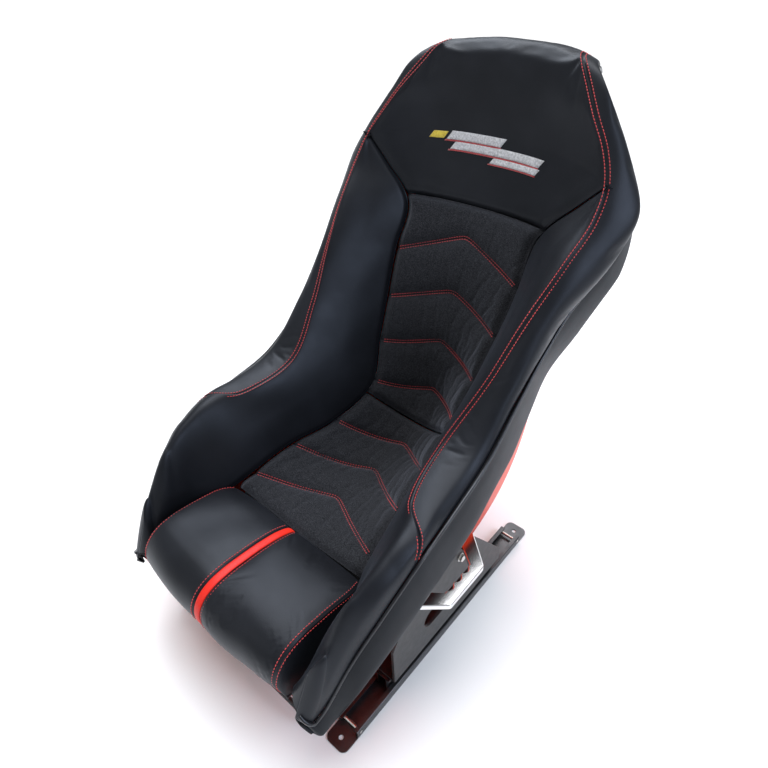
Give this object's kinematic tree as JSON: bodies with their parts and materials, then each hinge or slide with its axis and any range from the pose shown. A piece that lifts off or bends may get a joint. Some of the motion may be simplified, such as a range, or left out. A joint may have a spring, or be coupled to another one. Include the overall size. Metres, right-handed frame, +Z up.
{
  "type": "racing bucket seat",
  "caption": "High-back racing bucket seat in a fibreglass shell with padded bolsters, side grab handles, side brackets and locking slide rails under it.",
  "frame": {"origin": "on the floor, on the seat's centre plane, at the centre of the four floor holes", "axes": "+Z up, the seat faces -Y, +X is the occupant's left"},
  "size_m": [0.636, 0.8928, 0.9219],
  "materials": {
    "gelcoat": "orange-red gelcoat on fibreglass",
    "black_leather": "satin black upholstery leather, fine grain",
    "suede": "black suede microfibre",
    "red_leather": "bright red leather",
    "boxing_cloth": "matte black vinyl boxing",
    "piping_vinyl": "glossy black vinyl piping",
    "foam": "moulded polyurethane foam",
    "embroidery": "silver embroidery thread",
    "billet": "polished aluminium",
    "black_steel": "black powder coat",
    "zinc": "bright zinc plate",
    "rail_steel": "phosphated steel",
    "cage_plastic": "natural nylon",
    "grip_foam": "closed-cell rubber grip"
  },
  "bodies": {
    "floor_rails": {"lower_rail_left": "rail_steel", "lower_rail_right": "rail_steel", "lock_rack_left": "rail_steel", "lock_rack_right": "rail_steel", "end_stops": "zinc"},
    "ball_carriage_left": {"ball_cage_left": "cage_plastic", "slide_balls_left": "zinc"},
    "ball_carriage_right": {"ball_cage_right": "cage_plastic", "slide_balls_right": "zinc"},
    "release_lever": {"release_bar": "black_steel", "tooth_plate_left": "zinc", "tooth_plate_right": "zinc", "bar_grip": "grip_foam"},
    "seat": {"seat_shell": "gelcoat", "thigh_cushion": "black_leather", "centre_stripe": "red_leather", "seat_insert": "suede", "back_insert": "suede", "seat_foam": "foam", "back_foam": "foam", "bolster_left": "black_leather", "bolster_right": "black_leather", "headrest_cushion": "black_leather", "headrest_emblem": "embroidery", "side_band_left": "boxing_cloth", "side_band_right": "boxing_cloth", "edge_piping_left": "piping_vinyl", "edge_piping_right": "piping_vinyl", "grab_handle_left": "billet", "grab_handle_right": "billet", "side_bracket_left": "black_steel", "side_bracket_right": "black_steel", "handle_bolts": "zinc", "bracket_bolts": "zinc", "bracket_nuts": "zinc", "foot_bolts": "zinc", "foot_nuts": "zinc", "upper_rail_left": "rail_steel", "upper_rail_right": "rail_steel", "pivot_pins": "zinc", "latch_spring_left": "zinc", "latch_spring_right": "zinc"}
  },
  "joints": [
    {"name": "seat_slide", "type": "slide", "parent": "floor_rails", "child": "seat", "axis": [0, 1, 0], "range_m": [-0.075, 0.075]},
    {"name": "carriage_left_slide", "type": "slide", "parent": "floor_rails", "child": "ball_carriage_left", "axis": [0, 1, 0], "range_m": [-0.038, 0.038]},
    {"name": "carriage_right_slide", "type": "slide", "parent": "floor_rails", "child": "ball_carriage_right", "axis": [0, 1, 0], "range_m": [-0.038, 0.038]},
    {"name": "release_lift", "type": "hinge", "parent": "seat", "child": "release_lever", "pos_m": [0, 0.02, 0.036], "axis": [-1, 0, 0], "range_deg": [-4, 8]}
  ],
  "couplings": [
    {"joint": "carriage_left_slide", "follows": "seat_slide", "ratio": 0.5},
    {"joint": "carriage_right_slide", "follows": "seat_slide", "ratio": 0.5}
  ]
}
